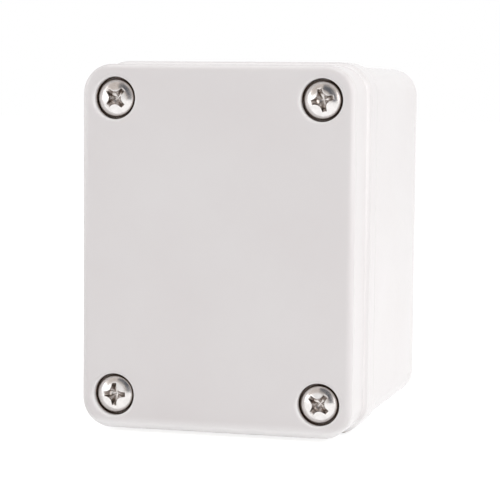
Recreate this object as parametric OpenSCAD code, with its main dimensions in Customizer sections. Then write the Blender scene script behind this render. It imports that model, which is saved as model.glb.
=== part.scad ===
// Small sealed project box: deep moulded base, screwed-on lid, gasket,
// four captive pan-head screws and the threaded inserts they run in.
// Millimetres. The lid faces -Y, +Z is up, the origin is the bottom centre.
// Depths are measured from the lid's front face towards the back.

/* [Outside] */
// Width over the rim, left to right
box_w = 50; // [46:0.5:120]
// Height over the rim
box_h = 65; // [58:0.5:160]
// Depth from the lid's front face to the back face
box_d = 55; // [42:0.5:120]
// Outline corner radius of the rim
corner_r = 5.8; // [4:0.1:8]
// How far the rim stands proud of the lid's front part and of the body
rim_step = 0.6; // [0.3:0.05:1]
// Radius of the shoulder that leads up to the rim, larger than the step
rim_round = 1.5; // [1.2:0.1:2.5]
// Depth from the front face to where the rim begins
rim_start = 9.2; // [8:0.1:11]
// Depth of the lid, from its front face to the parting plane
lid_depth = 14.8; // [13:0.1:20]
// How far the rim runs on over the base, behind the parting plane
rim_back = 2.6; // [1.8:0.1:5]
// Rounding of the rim's rear edge
rim_edge = 0.3; // [0.1:0.05:0.5]
// Rounding of the lid's front edge
edge_round = 1.3; // [0.5:0.1:2]
// Rounding of the back face's edge
back_round = 1; // [0.5:0.1:2]
// How much each side draws in from the rim to the back, for mould release
body_taper = 0.2; // [0.05:0.05:0.8]

/* [Walls] */
// Side wall of the base
wall = 3; // [2.6:0.1:4]
// Back wall of the base
floor_t = 2.6; // [2:0.1:4]
// Front plate of the lid
lid_plate = 3; // [2.4:0.1:4]
// Lid wall outside the gasket groove
lid_skirt = 1.6; // [1.2:0.1:2.5]
// Lid rib inside the gasket groove
lid_rib = 1; // [0.8:0.1:2]

/* [Seal] */
// Width of the gasket groove and of the gasket
groove_w = 1.6; // [1.2:0.1:2.5]
// Depth of the gasket groove, from the parting plane
groove_depth = 4.9; // [4:0.1:6]
// Height of the gasket, squeezed
gasket_h = 1.6; // [1:0.1:2.5]
// Free space each side of the base's tongue in the groove
tongue_gap = 0.2; // [0.1:0.05:0.4]

/* [Lid screws] */
// Screw axes in from the rim's outline
screw_inset = 6.5; // [6:0.1:9]
// Nominal thread diameter
thread_d = 3.5; // [3:0.5:4]
// Length under the head
screw_len = 20; // [18:1:25]
// Chamfer at the screw's end
screw_tip = 0.6; // [0.3:0.1:1]
// Head diameter
head_d = 6.5; // [5.5:0.1:8]
// Head height at the centre
head_h = 2.3; // [1.8:0.1:3.2]
// Radius of the head's dome
head_dome = 6; // [4.5:0.1:9]
// Rounding at the edge of the head
head_round = 0.8; // [0.3:0.05:1]
// Cross recess, tip to tip
cross_d = 4.1; // [3:0.1:4.5]
// Width of each arm of the cross
cross_w = 0.86; // [0.6:0.02:1.1]
// Depth of the cross
cross_depth = 1.7; // [1.2:0.1:2]
// Turn of the top left screw's cross, anticlockwise from the front
turn_top_left = 45; // [0:1:89]
// Turn of the top right screw's cross
turn_top_right = 14; // [0:1:89]
// Turn of the bottom left screw's cross
turn_bottom_left = 0; // [0:1:89]
// Turn of the bottom right screw's cross
turn_bottom_right = 51; // [0:1:89]
// How far the head's centre lies below the lid's front face
head_sink = 0.2; // [0.1:0.1:1.5]
// Free space around the head in its recess
head_gap = 0.45; // [0.3:0.05:0.8]
// Rounding of the recess's mouth
lip_round = 0.7; // [0.2:0.05:0.8]
// Free space around the screw where it passes the lid
shank_gap = 0.25; // [0.15:0.05:0.4]
// Running clearance of the screw in its insert, on radius
thread_gap = 0.03; // [0.02:0.01:0.06]

/* [Screw columns] */
// Outer radius of each screw column
column_r = 5; // [4.8:0.1:6.5]
// Depth of the pocket for the retaining ring, from the parting plane
pocket_depth = 5; // [4.5:0.1:7]
// Radius of that pocket
pocket_r = 3.2; // [3.1:0.1:4]
// Section diameter of the retaining ring
ring_d = 1.25; // [1:0.05:1.6]
// Outer radius of the threaded insert
insert_r = 2.6; // [2.4:0.1:3.2]
// Length of the threaded insert
insert_len = 5; // [4:0.5:8]
// Width of the groove round the insert
insert_groove_w = 1; // [0.5:0.1:2]
// Depth of that groove
insert_groove_depth = 0.4; // [0.2:0.05:0.6]
// Relief below the insert
relief = 3; // [1:0.5:6]

/* [Board bosses] */
// Spacing of the board bosses, left to right
boss_x = 30; // [24:1:100]
// Spacing of the board bosses, up and down
boss_z = 36; // [28:1:130]
// Radius of each boss
boss_r = 2.5; // [2.2:0.1:4]
// Height of each boss above the back wall
boss_h = 5; // [3:0.5:12]
// Radius of each pilot hole
pilot_r = 1.1; // [0.9:0.05:1.5]
// How far each pilot hole runs on into the back wall
pilot_extra = 0.5; // [0.3:0.1:1]

/* [Hidden] */
$fn = 96;
// how far a cut runs past a face, and how far joined forms overlap
e = wall/6;
lap = wall/3;
corner_reach = 2*screw_inset;
lid_w = box_w - 2*rim_step;
lid_h = box_h - 2*rim_step;
lid_r = corner_r - rim_step;
screw_x = box_w/2 - screw_inset;
screw_z = box_h/2 - screw_inset;
shoulder_start = rim_start - rim_round
    + sqrt(rim_round*rim_round - (rim_round - rim_step)*(rim_round - rim_step));
body_start = lid_depth + rim_back - lap;
body_len = box_d - body_start;
recess_r = head_d/2 + head_gap;
seat = head_sink + head_h;
shank_r = thread_d/2;
groove_end = lid_skirt + groove_w;
groove_floor = lid_depth - groove_depth;
tongue_tip = groove_floor + gasket_h;
cavity_end = box_d - floor_t;
insert_top = lid_depth + pocket_depth;
white = [0.86, 0.85, 0.84];
steel = [0.75, 0.75, 0.76];
brass = [0.8, 0.62, 0.3];
black = [0.12, 0.12, 0.12];

// A plate with the given outline, from depth t, len deep.
module slab(t, len)
    translate([0, t + len - box_d/2, box_h/2]) rotate([90, 0, 0])
        linear_extrude(len) children();

// A frame whose own +Z runs towards the back, at depth t on the box's axis.
module deep(t)
    translate([0, t - box_d/2, box_h/2]) rotate([-90, 0, 0]) children();

// The same frame on the axis of one lid screw.
module at_screw(sx, sz, t)
    translate([sx*screw_x, t - box_d/2, box_h/2 + sz*screw_z])
        rotate([-90, 0, 0]) children();

// Half the side view of one moulded form, a wide and starting at depth 0.
module half_view(form, a) {
    if (form == "lid_front") front_rounded(a, rim_start + lap, edge_round);
    if (form == "lid_rim") front_rounded(a, lid_depth - shoulder_start, rim_round);
    if (form == "base_rim") back_rounded(a, 0, rim_back, rim_edge);
    if (form == "body") back_rounded(a, body_taper, body_len, back_round);
}

module front_rounded(a, d, f) {
    translate([0, f]) square([a, d - f]);
    square([a - f, d]);
    translate([a - f, f]) intersection() {
        circle(f);
        translate([0, -f]) square(f);
    }
}

// Drawn in by the given taper towards its rounded back edge.
module back_rounded(a, taper, d, f) {
    polygon([[0, 0], [a, 0], [a - taper, d - f], [0, d - f]]);
    square([a - taper - f, d]);
    translate([a - taper - f, d - f]) intersection() {
        circle(f);
        square(f);
    }
}

module side_view(form, a) {
    half_view(form, a);
    mirror([1, 0]) half_view(form, a);
}

// A moulded form with round corners: two prisms and four turned corner posts.
module moulded(form, w, h, r) {
    for (sx = [-1, 1], sz = [-1, 1])
        translate([sx*(w/2 - r), sz*(h/2 - r), 0])
            rotate_extrude() half_view(form, r);
    rotate([90, 0, 0]) linear_extrude(h - 2*r, center = true)
        side_view(form, w/2);
    rotate([90, 0, 90]) linear_extrude(w - 2*r, center = true)
        side_view(form, h/2);
}

// The room inside a wall that is i thick and leads round the screw columns.
module inside(i)
    difference() {
        square([lid_w - 2*i, lid_h - 2*i], center = true);
        for (sx = [-1, 1], sz = [-1, 1])
            translate([sx*screw_x, sz*screw_z]) {
                circle(column_r - wall + i);
                translate([sx*corner_reach/2, sz*corner_reach/2])
                    square(corner_reach, center = true);
            }
    }

// Round holes or rods on the four screw axes.
module four(r)
    for (sx = [-1, 1], sz = [-1, 1])
        translate([sx*screw_x, sz*screw_z]) circle(r);

// Deep moulded base with its part of the rim, tongue, screw columns and bosses.
module base() color(white) {
    difference() {
        union() {
            deep(lid_depth) moulded("base_rim", box_w, box_h, corner_r);
            deep(body_start) moulded("body", lid_w, lid_h, lid_r);
            // sealing tongue
            slab(tongue_tip, lid_depth - tongue_tip + e)
                inside(lid_skirt + tongue_gap);
        }
        // room inside, open to the front
        slab(tongue_tip - e, cavity_end - tongue_tip + e) inside(wall);
        // pocket, insert seat and relief in each column
        slab(lid_depth - e, pocket_depth + e) four(pocket_r);
        slab(insert_top - e, insert_len + e) four(insert_r);
        slab(insert_top + insert_len - e, relief + e) four(shank_r + shank_gap);
    }
    // board bosses on the back wall
    difference() {
        slab(cavity_end - boss_h, boss_h + e)
            for (sx = [-1, 1], sz = [-1, 1])
                translate([sx*boss_x/2, sz*boss_z/2]) circle(boss_r);
        slab(cavity_end - boss_h - e, boss_h + e + pilot_extra)
            for (sx = [-1, 1], sz = [-1, 1])
                translate([sx*boss_x/2, sz*boss_z/2]) circle(pilot_r);
    }
}

// A round recess whose mouth is rounded, cut from depth 0.
module recess() {
    translate([0, 0, -e]) cylinder(r = recess_r, h = seat + e);
    translate([0, 0, -e]) cylinder(r = recess_r + lip_round, h = e);
    difference() {
        cylinder(r = recess_r + lip_round, h = lip_round);
        translate([0, 0, lip_round]) rotate_extrude()
            translate([recess_r + lip_round, 0]) circle(lip_round);
    }
}

// Deep lid with its part of the rim, four screw recesses, a gasket groove
// and the rib inside it.
module lid() color(white)
    difference() {
        union() {
            deep(0) moulded("lid_front", lid_w, lid_h, lid_r);
            deep(shoulder_start) moulded("lid_rim", box_w, box_h, corner_r);
        }
        // hollow inside the rib
        slab(lid_plate, lid_depth - lid_plate + e) inside(groove_end + lid_rib);
        // gasket groove
        slab(groove_floor, lid_depth - groove_floor + e) difference() {
            inside(lid_skirt);
            inside(groove_end);
        }
        for (sx = [-1, 1], sz = [-1, 1]) {
            at_screw(sx, sz, 0) recess();
            at_screw(sx, sz, 0)
                cylinder(r = shank_r + shank_gap, h = lid_depth + e);
        }
    }

// One endless cord that fills the bottom of the groove.
module gasket() color(black)
    slab(groove_floor, gasket_h) difference() {
        inside(lid_skirt);
        inside(groove_end);
    }

// The cross recess, its arms narrowing towards the bottom.
module cross(depth) {
    for (a = [0, 90]) rotate([0, 0, a]) rotate([90, 0, 0])
        linear_extrude(cross_w, center = true)
            polygon([[-cross_d*0.55, -head_sink], [cross_d*0.55, -head_sink],
                     [cross_d/2, cross_d*0.06], [cross_d*0.17, depth],
                     [-cross_d*0.17, depth], [-cross_d/2, cross_d*0.06]]);
    translate([0, 0, -head_sink])
        cylinder(r1 = cross_d*0.36, r2 = cross_d*0.1, h = depth + head_sink);
}

// Pan-head screw, thread left plain, in the frame of at_screw.
module screw(turn) color(steel)
    difference() {
        union() {
            translate([0, 0, seat]) mirror([0, 0, 1]) rotate_extrude() intersection() {
                translate([0, head_h - head_dome]) circle(head_dome);
                union() {
                    square([head_d/2 - head_round, head_h]);
                    square([head_d/2, head_h*0.52]);
                    intersection() {
                        translate([head_d/2 - head_round, head_h*0.52])
                            circle(head_round);
                        square([head_d/2, head_h]);
                    }
                }
            }
            translate([0, 0, seat - screw_tip])
                cylinder(r = shank_r, h = screw_len);
            translate([0, 0, seat + screw_len - screw_tip])
                cylinder(r1 = shank_r, r2 = shank_r - screw_tip, h = screw_tip);
        }
        translate([0, 0, head_sink]) rotate([0, 0, -turn]) cross(cross_depth);
    }

module screw_top_left() at_screw(-1, 1, 0) screw(turn_top_left);
module screw_top_right() at_screw(1, 1, 0) screw(turn_top_right);
module screw_bottom_left() at_screw(-1, -1, 0) screw(turn_bottom_left);
module screw_bottom_right() at_screw(1, -1, 0) screw(turn_bottom_right);

// Rubber ring that keeps a loosened screw in the lid; it sits on the insert.
module retaining_ring() color(black)
    translate([0, 0, -ring_d/2]) rotate_extrude()
        translate([shank_r + ring_d/2, 0]) circle(ring_d/2);

module ring_top_left() at_screw(-1, 1, insert_top) retaining_ring();
module ring_top_right() at_screw(1, 1, insert_top) retaining_ring();
module ring_bottom_left() at_screw(-1, -1, insert_top) retaining_ring();
module ring_bottom_right() at_screw(1, -1, insert_top) retaining_ring();

// Brass insert with a retaining groove round its middle.
module insert() color(brass)
    rotate_extrude() difference() {
        translate([shank_r + thread_gap, 0])
            square([insert_r - shank_r - thread_gap, insert_len]);
        translate([insert_r - insert_groove_depth, (insert_len - insert_groove_w)/2])
            square([insert_groove_depth + e, insert_groove_w]);
    }

module insert_top_left() at_screw(-1, 1, insert_top) insert();
module insert_top_right() at_screw(1, 1, insert_top) insert();
module insert_bottom_left() at_screw(-1, -1, insert_top) insert();
module insert_bottom_right() at_screw(1, -1, insert_top) insert();

base();
lid();
gasket();
screw_top_left();
screw_top_right();
screw_bottom_left();
screw_bottom_right();
ring_top_left();
ring_top_right();
ring_bottom_left();
ring_bottom_right();
insert_top_left();
insert_top_right();
insert_bottom_left();
insert_bottom_right();
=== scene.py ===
import bpy
import bmesh
from math import asin, cos, pi, radians, sin, sqrt, tan
from mathutils import Vector, Matrix


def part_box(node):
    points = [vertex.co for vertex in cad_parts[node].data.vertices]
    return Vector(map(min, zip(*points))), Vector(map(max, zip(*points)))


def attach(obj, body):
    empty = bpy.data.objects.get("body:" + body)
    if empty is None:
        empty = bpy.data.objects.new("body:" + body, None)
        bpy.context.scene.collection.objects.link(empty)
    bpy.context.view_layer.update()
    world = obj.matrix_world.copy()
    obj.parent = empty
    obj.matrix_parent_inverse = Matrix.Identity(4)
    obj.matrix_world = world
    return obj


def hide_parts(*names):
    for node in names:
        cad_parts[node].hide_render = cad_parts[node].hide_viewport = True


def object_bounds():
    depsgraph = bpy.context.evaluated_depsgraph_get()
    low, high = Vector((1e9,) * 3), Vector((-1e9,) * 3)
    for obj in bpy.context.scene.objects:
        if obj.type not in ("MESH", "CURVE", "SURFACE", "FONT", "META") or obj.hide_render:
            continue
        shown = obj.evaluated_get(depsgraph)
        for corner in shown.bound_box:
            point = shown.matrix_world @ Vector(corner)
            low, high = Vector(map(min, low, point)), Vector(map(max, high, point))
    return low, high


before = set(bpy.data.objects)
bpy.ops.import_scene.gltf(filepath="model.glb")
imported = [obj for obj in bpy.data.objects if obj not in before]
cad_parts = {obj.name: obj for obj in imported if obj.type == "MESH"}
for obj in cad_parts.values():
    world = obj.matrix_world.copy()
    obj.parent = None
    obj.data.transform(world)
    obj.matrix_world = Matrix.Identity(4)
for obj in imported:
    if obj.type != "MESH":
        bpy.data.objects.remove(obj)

CAD_BOX = [list(c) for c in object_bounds()]
low, high = CAD_BOX
front_y = low[1]
mid_z = (low[2] + high[2])/2
scene = bpy.context.scene
MM = 0.001
WHITE = (1, 1, 1)
# the corners, and how far each screw's cross is turned, anticlockwise from the front
TURNS = {"top_left": 45, "top_right": 14, "bottom_left": 0, "bottom_right": 51}


# ---------------------------------------------------------------- materials
class Nodes:
    """Short calls for building one node material."""

    def __init__(self, name):
        self.mat = bpy.data.materials.new(name)
        self.mat.use_nodes = True
        self.tree = self.mat.node_tree
        self.bsdf = self.tree.nodes["Principled BSDF"]
        self.surface = self.tree.nodes["Material Output"].inputs["Surface"]
        self.coords = self.tree.nodes.new("ShaderNodeTexCoord")

    def add(self, kind, **values):
        """A node, with its sockets or, where it has no such socket, its settings."""
        node = self.tree.nodes.new(kind)
        for key, value in values.items():
            if key in node.inputs:
                node.inputs[key].default_value = value
            else:
                setattr(node, key, value)
        return node

    def link(self, a, b):
        self.tree.links.new(a, b)

    def noise(self, scale, detail=2.0, rough=0.5):
        node = self.add("ShaderNodeTexNoise", Scale=scale, Detail=detail, Roughness=rough)
        self.link(self.coords.outputs["Object"], node.inputs["Vector"])
        return node.outputs["Fac"]

    def spread(self, value, from_low, from_high, to_low, to_high):
        """Stretches one span of a value over another, and holds it there."""
        node = self.add("ShaderNodeMapRange", clamp=True)
        for key, number in (("From Min", from_low), ("From Max", from_high),
                            ("To Min", to_low), ("To Max", to_high)):
            node.inputs[key].default_value = number
        self.link(value, node.inputs["Value"])
        return node.outputs["Result"]

    def blend(self, how, fac, a, b):
        """Two colours together; each of fac, a and b is a value or another node's output."""
        node = self.add("ShaderNodeMix", data_type="RGBA", blend_type=how)
        first, second = [s for s in node.inputs if s.type == "RGBA"]
        for socket, value in ((node.inputs["Factor"], fac), (first, a), (second, b)):
            if isinstance(value, bpy.types.NodeSocket):
                self.link(value, socket)
            else:
                socket.default_value = (*value, 1) if isinstance(value, tuple) else value
        return next(s for s in node.outputs if s.type == "RGBA")

    def mix(self, fac, a, b):
        return self.blend("MIX", fac, a, b)

    def tint(self, color, by):
        """One colour multiplied by another."""
        return self.blend("MULTIPLY", 1, color, by)

    def crevice(self, reach):
        """1 in the open, down to 0 where neighbours within reach close the place in."""
        node = self.add("ShaderNodeAmbientOcclusion", Distance=reach, samples=12)
        return node.outputs["AO"]

    def ramp(self, value, *stops):
        """Turns a value into colours; each stop is a value and its colour."""
        node = self.add("ShaderNodeValToRGB")
        while len(node.color_ramp.elements) < len(stops):
            node.color_ramp.elements.new(0.5)
        for element, (where, color) in zip(node.color_ramp.elements, stops):
            element.position = where
            element.color = (*color, 1)
        self.link(value, node.inputs["Fac"])
        return node.outputs["Color"]

    def bump(self, height, strength, distance):
        node = self.add("ShaderNodeBump", Strength=strength, Distance=distance)
        self.link(height, node.inputs["Height"])
        return node.outputs["Normal"]

    def done(self, color, rough, normal, **sockets):
        """Links the three outputs that vary and sets the sockets that don't."""
        self.link(color, self.bsdf.inputs["Base Color"])
        self.link(rough, self.bsdf.inputs["Roughness"])
        self.link(normal, self.bsdf.inputs["Normal"])
        for key, value in sockets.items():
            self.bsdf.inputs[key].default_value = value
        return self.mat


def srgb(*levels):
    """Linear colour from 0 to 255 values as seen on a screen."""
    shares = [v/255 for v in levels]
    return tuple(v/12.92 if v <= 0.04045 else ((v + 0.055)/1.055)**2.4 for v in shares)


def plastic(name, paint_gap_shade):
    """Pale grey moulded ABS, clouded by a hair, finely grained, with painted light paling it
    near other surfaces and, when asked, painted shade darkening its narrow crevices.
    """
    grey, paler_grey = srgb(226, 221, 221), srgb(229, 225, 225)
    # painted light: a paler colour that the plastic takes near other surfaces, not a colour of
    # its own
    painted_hollow_light = (0.95, 0.93, 0.93)
    n = Nodes(name)
    cloud = n.noise(45, 3, 0.55)
    grain = n.noise(5200, 2, 0.6)
    polish = n.noise(900, 2, 0.5)
    color = n.mix(n.spread(cloud, 0.3, 0.7, 0, 1), grey, paler_grey)
    # painted light: ambient occlusion within 3 mm turns the plastic paler, a painted halo
    # round the screw recesses' lips and along the bottom edge
    painted_light_mask = n.spread(n.crevice(3*MM), 0.75, 0.99, 1, 0)
    color = n.mix(painted_light_mask, color, painted_hollow_light)
    if paint_gap_shade:                            # painted shade: ambient occlusion darkens the narrow crevices round the screws and at the joint, warm brown at its edge
        color = n.tint(color, n.ramp(n.crevice(0.8*MM),
                                     (0.22, (0.008, 0.006, 0.006)),
                                     (0.38, (0.06, 0.035, 0.025)),
                                     (0.48, (0.70, 0.42, 0.27)),
                                     (0.56, WHITE)))
    rough = n.spread(polish, 0.3, 0.7, 0.17, 0.20)
    return n.done(color, rough, n.bump(grain, 0.06, 0.02*MM), IOR=1.5)


def steel():
    """Bright stainless, faintly stained and grainy, with painted shade down in the cross and
    round the head's edge.
    """
    bright, dull = (0.80, 0.775, 0.765), (0.72, 0.695, 0.68)
    n = Nodes("stainless_steel")
    stain = n.noise(900, 3, 0.6)
    grit = n.noise(9000, 2, 0.6)
    color = n.mix(n.spread(stain, 0.35, 0.7, 0, 1), bright, dull)
    # painted shade: ambient occlusion within 1.2 mm darkens the metal towards brown in the
    # cross and round the head's edge
    color = n.tint(color, n.ramp(n.crevice(1.2*MM),
                                 (0.05, (0.07, 0.05, 0.045)),
                                 (0.38, (0.42, 0.35, 0.30)),
                                 (0.68, WHITE)))
    rough = n.spread(stain, 0.3, 0.75, 0.16, 0.26)
    return n.done(color, rough, n.bump(grit, 0.10, 0.01*MM), Metallic=1.0)


def brass():
    """Turned brass, a little tarnished in patches."""
    bright, tarnished = (0.80, 0.60, 0.27), (0.62, 0.43, 0.17)
    n = Nodes("turned_brass")
    stain = n.noise(1200, 3, 0.6)
    grit = n.noise(7000)
    color = n.mix(n.spread(stain, 0.3, 0.7, 0, 1), bright, tarnished)
    rough = n.spread(stain, 0.3, 0.7, 0.22, 0.36)
    return n.done(color, rough, n.bump(grit, 0.15, 0.01*MM), Metallic=1.0)


def rubber(name):
    """Black rubber with a greyish bloom."""
    black, bloomed = (0.018, 0.018, 0.018), (0.045, 0.045, 0.044)
    n = Nodes(name)
    bloom = n.noise(600, 4, 0.65)
    grain = n.noise(4000, 3)
    color = n.mix(n.spread(bloom, 0.35, 0.75, 0, 1), black, bloomed)
    rough = n.spread(bloom, 0.3, 0.7, 0.55, 0.75)
    return n.done(color, rough, n.bump(grain, 0.3, 0.03*MM))


# by the first word of a node's name
MATERIALS = {"base": plastic("base_plastic", False), "lid": plastic("lid_plastic", True),
             "gasket": rubber("gasket_rubber"), "ring": rubber("ring_rubber"),
             "screw": steel(), "insert": brass()}


def dress(obj, mat):
    obj.data.materials.clear()
    obj.data.materials.append(mat)
    for face in obj.data.polygons:
        face.material_index = 0


# ---------------------------------------------------------------- mouldings
EDGE_BREAK = 0.10*MM
SHARP = 38              # degrees between faces that make an edge


def soften(obj):
    """Breaks the sharp edges of a carried CAD node by a hair, in modifiers alone."""
    obj.modifiers.new("join", "WELD").merge_threshold = 1e-6
    edge = obj.modifiers.new("break_edges", "BEVEL")
    edge.width = EDGE_BREAK
    edge.segments = 2
    edge.limit_method = "ANGLE"
    edge.angle_limit = radians(SHARP)
    obj.modifiers.new("even_shading", "WEIGHTED_NORMAL").keep_sharp = False


for name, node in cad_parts.items():
    dress(node, MATERIALS[name.split("_")[0]])
soften(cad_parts["base"])
soften(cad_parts["lid"])


# ---------------------------------------------------------------- turned parts
def skin(rings, closed=False):
    """A closed mesh over rings of points, ring to ring; the ends are capped or joined."""
    bm = bmesh.new()
    rows = [[bm.verts.new(p) for p in ring] for ring in rings]
    following = rows[1:] + rows[:1] if closed else rows[1:]
    for row, after in zip(rows, following):
        for i in range(len(row)):
            j = (i + 1) % len(row)
            bm.faces.new((row[i], row[j], after[j], after[i]))
    if not closed:
        bm.faces.new(rows[0])
        bm.faces.new(rows[-1])
    bmesh.ops.recalc_face_normals(bm, faces=bm.faces[:])
    return bm


def finish_mesh(bm, name, sharp=SHARP):
    mesh = bpy.data.meshes.new(name)
    bm.to_mesh(mesh)
    bm.free()
    mesh.shade_smooth()
    mesh.set_sharp_from_angle(angle=radians(sharp))
    return mesh


def turned(radius, z, count):
    """One ring at height z; radius is a number or a function of the angle."""
    angles = [2*pi*i/count for i in range(count)]
    reach = [radius(a) if callable(radius) else radius for a in angles]
    return [(r*cos(a), r*sin(a), z) for r, a in zip(reach, angles)]


PITCH = 0.6*MM
THREAD_ROWS = 8                         # rings in one turn of thread
VALLEY_FROM, FLANK = 0.80, 0.66         # from a ridge's middle, in half pitches


def thread(z, angle, outer, inner):
    """Radius of a right-hand thread, flat at its outer and inner radius."""
    u = (z/PITCH - angle/(2*pi)) % 1
    rise = min(max((VALLEY_FROM - abs(2*u - 1))/FLANK, 0), 1)
    return inner + (outer - inner)*rise


# the screws' own measures: z runs out of the lid, from its front face
SEGMENTS = 72
screw_low, screw_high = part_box("screw_top_left")
apex = front_y - screw_low.y            # the head's centre
tip = front_y - screw_high.y
head_r = (screw_high.x - screw_low.x)/2
SHANK_R, HEAD_H = 1.75*MM, 2.3*MM
seat = apex - HEAD_H
DOME = 6*MM                             # radius of the domed head
HEAD_EDGE, UNDER, NECK = 0.35*MM, 0.12*MM, 0.25*MM      # roundings down the head
PLAIN_NECK, FADE_IN, TIP_CHAMFER, THREAD_DEPTH = 0.7*MM, 0.8*MM, 0.6*MM, 0.36*MM


def quarter(steps, start=0.0):
    """Angles from start to a right angle."""
    return [start + (pi/2 - start)*k/steps for k in range(steps + 1)]


def head_rings():
    """Radius and height down the head: dome, rounded edge, underside and neck."""
    lean = asin((head_r - HEAD_EDGE)/(DOME - HEAD_EDGE))
    edge_z = apex - DOME + (DOME - HEAD_EDGE)*cos(lean)
    dome_steps = 14
    for k in range(1, dome_steps):
        a = lean*k/dome_steps
        yield DOME*sin(a), apex - DOME + DOME*cos(a)
    for a in quarter(8, lean):
        yield head_r - HEAD_EDGE + HEAD_EDGE*sin(a), edge_z + HEAD_EDGE*cos(a)
    for a in quarter(3):
        yield head_r - UNDER + UNDER*cos(a), seat + UNDER - UNDER*sin(a)
    for a in quarter(3):
        yield SHANK_R + NECK - NECK*sin(a), seat - NECK + NECK*cos(a)


def shank_ring(z):
    """One ring of the threaded shank; the thread fades in and the end is chamfered."""
    fade = min(max((seat - PLAIN_NECK - z)/FADE_IN, 0), 1)
    limit = SHANK_R - max(tip + TIP_CHAMFER - z, 0)
    inner = SHANK_R - THREAD_DEPTH*fade
    return turned(lambda a: min(thread(z, a, SHANK_R, inner), limit), z, SEGMENTS)


# the cross: an arm's reach where it meets the dome, at ARM_MOUTH below the head's centre,
# half its width, and how far out the webs between the arms are
ARM_REACH, ARM_MOUTH, ARM_HALF, WEB = 2.05*MM, 0.36*MM, 0.40*MM, 1.15*MM
ARM_SLOPE, HALF_SLOPE, WEB_SLOPE = 0.62, 0.05, 0.33     # how each narrows with depth
WEB_FROM, ARM_FLARE = 0.78, 0.05*MM                     # where an arm's side turns to its web
CROSS_DEPTHS = (-0.4, 0.0, 0.36, 0.75, 1.15, 1.5, 1.75)         # mm below the head's centre
CROSS_END, CROSS_END_SHARE = 2.05*MM, 0.12              # the small end below them
# the cross's edges: how far they are broken, how sharp they are, how far above the seat
RIM_BREAK, RIM_ANGLE, RIM_ABOVE = 0.035*MM, 28, 0.6*MM


def cross_outline(depth):
    """The cross at one depth below the head's centre: four squared arms and curved webs."""
    reach = ARM_REACH + ARM_SLOPE*(ARM_MOUTH - depth)
    half = ARM_HALF - HALF_SLOPE*depth
    web = WEB - WEB_SLOPE*depth
    start = Vector((reach*WEB_FROM, half + ARM_FLARE))
    end = Vector((start.y, start.x))
    middle = Vector((1, 1))*(2*web/sqrt(2) - 0.5*(start.x + start.y))
    side = [Vector((reach, -half)), Vector((reach, half))]
    web_steps = 8
    for k in range(web_steps + 1):
        t = k/web_steps
        side.append(start*(1 - t)**2 + middle*2*t*(1 - t) + end*t*t)
    points = []
    for turn in range(4):
        spin = Matrix.Rotation(turn*pi/2, 2)
        points += [spin @ p for p in side]
    return points


def cross_cutter():
    rings = [[(p.x, p.y, apex - d*MM) for p in cross_outline(d*MM)] for d in CROSS_DEPTHS]
    rings.append([(CROSS_END_SHARE*x, CROSS_END_SHARE*y, apex - CROSS_END)
                  for x, y, z in rings[-1]])
    return finish_mesh(skin(rings), "cross_cutter")


def cut(mesh, cutter, name):
    """The first mesh less the second, as a new mesh."""
    body = bpy.data.objects.new(name, mesh)
    tool = bpy.data.objects.new("cutter", cutter)
    for obj in (body, tool):
        scene.collection.objects.link(obj)
    boolean = body.modifiers.new("cut", "BOOLEAN")
    boolean.operation = "DIFFERENCE"
    boolean.solver = "EXACT"
    boolean.object = tool
    graph = bpy.context.evaluated_depsgraph_get()
    result = bpy.data.meshes.new_from_object(body.evaluated_get(graph))
    for obj in (body, tool):
        bpy.data.objects.remove(obj)
    return result


def on_cross_rim(edge):
    """Whether an edge is a sharp one in the head's upper part, where the cross was cut."""
    on_head = min(v.co.z for v in edge.verts) > seat + RIM_ABOVE
    return (on_head and len(edge.link_faces) == 2
            and edge.calc_face_angle() > radians(RIM_ANGLE))


def screw_mesh():
    """A domed pan head with a cut cross, over a threaded shank."""
    rings = [turned(r, z, SEGMENTS) for r, z in head_rings()]
    top = seat - 1.5*NECK
    rows = round((top - tip)/PITCH*THREAD_ROWS)
    rings += [shank_ring(top + (tip - top)*k/rows) for k in range(rows + 1)]
    whole = finish_mesh(skin(rings), "screw_blank")
    bm = bmesh.new()
    bm.from_mesh(cut(whole, cross_cutter(), "screw_blank"))
    rim = [e for e in bm.edges if on_cross_rim(e)]
    bmesh.ops.bevel(bm, geom=rim, offset=RIM_BREAK, segments=2, profile=0.5, affect="EDGES")
    bmesh.ops.triangulate(bm, faces=[f for f in bm.faces if len(f.verts) > 4])
    return finish_mesh(bm, "screw", 45)


def insert_mesh():
    """Knurled brass insert with a groove round its middle and a threaded bore."""
    low_end, high_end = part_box("insert_top_left")
    top, bottom = front_y - low_end.y, front_y - high_end.y
    outer = (high_end.x - low_end.x)/2
    end_r = outer - 0.35*MM
    groove_r = outer - 0.4*MM
    mid, half, slant, chamfer = (top + bottom)/2, 0.5*MM, 0.1*MM, 0.2*MM
    count, teeth, tooth_depth = 96, 24, 0.13*MM
    bore_outer, bore_inner, bore_mouth = 1.92*MM, 1.785*MM, 0.3*MM

    def knurl(a):
        return outer - tooth_depth*abs(2*(a*teeth/(2*pi) % 1) - 1)

    outline = ((end_r, top), (knurl, top - chamfer),
               (knurl, mid + half), (groove_r, mid + half - slant),
               (groove_r, mid - half + slant), (knurl, mid - half),
               (knurl, bottom + chamfer), (end_r, bottom))
    rows = [turned(radius, z, count) for radius, z in outline]
    steps = round((top - bottom)/PITCH*THREAD_ROWS)
    for k in range(steps + 1):
        z = bottom + (top - bottom)*k/steps
        mouth = max(bore_mouth - min(z - bottom, top - z), 0)
        rows.append(turned(lambda a: max(thread(z, a + pi, bore_outer, bore_inner),
                                         bore_inner + mouth), z, count))
    return finish_mesh(skin(rows, closed=True), "insert")


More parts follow.
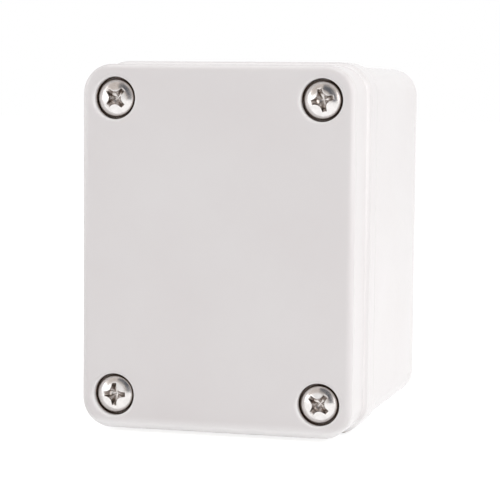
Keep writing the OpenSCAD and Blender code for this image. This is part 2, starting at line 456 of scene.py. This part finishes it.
def on_axis(corner, turn):
    """The frame of one screw: its z runs out of the lid, from the front face."""
    a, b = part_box("screw_" + corner)
    out = Matrix(((1, 0, 0), (0, 0, -1), (0, 1, 0))).to_4x4()
    place = Matrix.Translation(((a.x + b.x)/2, front_y, (a.z + b.z)/2))
    return place @ out @ Matrix.Rotation(radians(turn), 4, "Z")


def fit(mesh, kind, corner, body, turn=0):
    """A detailed piece in the place of its CAD node, on the body that carries it."""
    obj = bpy.data.objects.new(kind + "_detail_" + corner, mesh)
    scene.collection.objects.link(obj)
    obj.matrix_world = on_axis(corner, turn)
    dress(obj, MATERIALS[kind])
    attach(obj, body)
    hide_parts(kind + "_" + corner)


screw, insert = screw_mesh(), insert_mesh()
for corner, turn in TURNS.items():
    fit(screw, "screw", corner, "screw_" + corner, turn)
    fit(insert, "insert", corner, "base")

# ---------------------------------------------------------------- camera
# seen from a little to the right and just above, as a product shot
YAW, PITCH_DOWN, ROLL = radians(15.82), radians(4.70), radians(-0.52)
DISTANCE, LENS = 345.5*MM, 145.28
target = Vector((6.31*MM, front_y, mid_z + 0.28*MM))
ahead = Vector((-sin(YAW)*cos(PITCH_DOWN), cos(YAW)*cos(PITCH_DOWN), -sin(PITCH_DOWN)))
level = ahead.cross(Vector((0, 0, 1))).normalized()
down = ahead.cross(level)
across = cos(ROLL)*level + sin(ROLL)*down
up = sin(ROLL)*level - cos(ROLL)*down
cam_data = bpy.data.cameras.new("camera")
cam_data.sensor_width = 36
cam_data.lens = LENS
cam_data.clip_start, cam_data.clip_end = 0.01, 20
cam = bpy.data.objects.new("camera", cam_data)
scene.collection.objects.link(cam)
rot = Matrix((across, up, -ahead)).transposed().to_4x4()
cam.matrix_world = Matrix.Translation(target - ahead*DISTANCE) @ rot
scene.camera = cam


# ---------------------------------------------------------------- stage
def seen_direct(tree):
    """1 where the eye, a mirror or a glass looks; 0 where light is gathered."""
    path = tree.nodes.new("ShaderNodeLightPath")
    seen = path.outputs["Is Camera Ray"]
    for ray in ("Is Glossy Ray", "Is Transmission Ray"):
        either = tree.nodes.new("ShaderNodeMath")
        either.operation = "MAXIMUM"
        tree.links.new(seen, either.inputs[0])
        tree.links.new(path.outputs[ray], either.inputs[1])
        seen = either.outputs[0]
    return seen


def staged(name, mesh, mat):
    """An object that isn't part of the box."""
    obj = bpy.data.objects.new(name, mesh)
    scene.collection.objects.link(obj)
    dress(obj, mat)
    return obj


def square(name, side):
    """A flat square at floor level, round the origin."""
    mesh = bpy.data.meshes.new(name)
    h = side/2
    mesh.from_pydata([(-h, -h, 0), (h, -h, 0), (h, h, 0), (-h, h, 0)], [], [(0, 1, 2, 3)])
    return mesh


def floor_material():
    """Pale floor that the eye sees white, with the object's soft shadow kept on it."""
    n = Nodes("pale_floor")
    n.bsdf.inputs["Base Color"].default_value = (0.87, 0.87, 0.87, 1)
    n.bsdf.inputs["Roughness"].default_value = 0.9
    glow = n.add("ShaderNodeEmission", Strength=0.84)
    matt = n.add("ShaderNodeBsdfDiffuse", Color=(0.4, 0.4, 0.4, 1))
    both = n.add("ShaderNodeAddShader")
    mixer = n.add("ShaderNodeMixShader")
    n.link(glow.outputs[0], both.inputs[0])
    n.link(matt.outputs[0], both.inputs[1])
    n.link(seen_direct(n.tree), mixer.inputs[0])
    n.link(n.bsdf.outputs[0], mixer.inputs[1])
    n.link(both.outputs[0], mixer.inputs[2])
    n.link(mixer.outputs[0], n.surface)
    return n.mat


def card_material(name, color):
    n = Nodes(name)
    glow = n.add("ShaderNodeEmission", Color=(*color, 1), Strength=1)
    n.link(glow.outputs[0], n.surface)
    return n.mat


def card(name, away, inner, outer, start, end, color):
    """A sector of a ring round the way the screws mirror the eye; only they show it."""
    mirrored = Vector((ahead.x, -ahead.y, ahead.z))
    east = Vector((0, 0, 1)).cross(mirrored).normalized()
    north = mirrored.cross(east)
    steps = 24
    points = []
    for k in range(steps + 1):
        a = radians(start + (end - start)*k/steps)
        side = sin(a)*east + cos(a)*north
        for reach in (inner, outer):
            points.append(target + (mirrored*away + side*away*tan(radians(reach))))
    faces = [(2*k, 2*k + 1, 2*k + 3, 2*k + 2) for k in range(steps)]
    mesh = bpy.data.meshes.new(name)
    mesh.from_pydata(points, [], faces)
    obj = staged(name, mesh, card_material(name, color))
    obj.visible_camera = False
    obj.visible_diffuse = False
    obj.visible_shadow = False


staged("floor", square("floor", 6), floor_material())
# painted reflections: two glowing cards that only reflections see, a dark patch and a dim
# warm-grey ring mirrored in the screw heads
# metres off; degrees off the mirrored eye, from and to; degrees round it from the top; colour
card("dark_card", 0.40, 40, 57, 3, 92, (0.08, 0.09, 0.11))
card("dim_card", 0.45, 33, 78, -60, 130, (0.66, 0.60, 0.56))

# ---------------------------------------------------------------- light
WORLD = 0.475           # the light that it gives; the eye and mirrors see it white


def world_light():
    world = bpy.data.worlds.new("studio")
    scene.world = world
    world.use_nodes = True
    tree = world.node_tree
    soft = tree.nodes["Background"]
    plain = tree.nodes.new("ShaderNodeBackground")
    mixer = tree.nodes.new("ShaderNodeMixShader")
    for background, strength in ((soft, WORLD), (plain, 1.0)):
        background.inputs["Color"].default_value = (1, 1, 1, 1)
        background.inputs["Strength"].default_value = strength
    tree.links.new(seen_direct(tree), mixer.inputs[0])
    tree.links.new(soft.outputs[0], mixer.inputs[1])
    tree.links.new(plain.outputs[0], mixer.inputs[2])
    tree.links.new(mixer.outputs[0], tree.nodes["World Output"].inputs["Surface"])


def soft_box(name, where, side, power):
    """A square lamp that looks at the middle of the object."""
    where = Vector(where)
    look = (Vector((0, 0, mid_z)) - where).to_track_quat("-Z", "Y").to_matrix().to_4x4()
    data = bpy.data.lights.new(name, "AREA")
    data.size = side
    data.energy = power
    obj = bpy.data.objects.new(name, data)
    obj.matrix_world = Matrix.Translation(where) @ look
    scene.collection.objects.link(obj)


world_light()
soft_box("right_box", (0.54, -0.14, 0.05), 0.8, 3.45)
soft_box("left_box", (-0.55, -0.25, 0.02), 0.75, 2.12)
soft_box("top_box", (0.0, -0.05, 0.60), 0.6, 1.3)

scene.view_settings.view_transform = "Standard"
